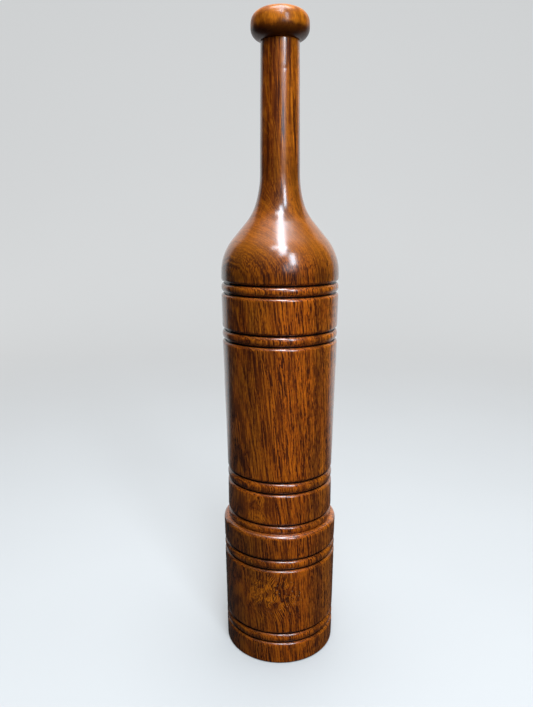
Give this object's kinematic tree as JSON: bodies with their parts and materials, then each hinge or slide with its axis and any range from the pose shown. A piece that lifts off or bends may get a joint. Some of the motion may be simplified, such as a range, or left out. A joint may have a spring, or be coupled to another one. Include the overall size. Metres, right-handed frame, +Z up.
{
  "type": "turned wooden exercise club",
  "caption": "Turned hardwood exercise club with a drum base, tapered barrel, bell shoulder, long grip and flattened ball knob, ringed with beads between dark grooves.",
  "frame": {"origin": "centre of the flat foot", "axes": "+Z up along the turning axis towards the knob; -Y is the side that faces the viewer; +X to the viewer's right"},
  "size_m": [0.122, 0.122, 0.6589],
  "materials": {
    "lacquered_wood": "clear gloss lacquer over streaked dark amber hardwood"
  },
  "bodies": {
    "root": {"base": "lacquered_wood", "barrel": "lacquered_wood", "handle": "lacquered_wood", "knob": "lacquered_wood"}
  },
  "joints": []
}
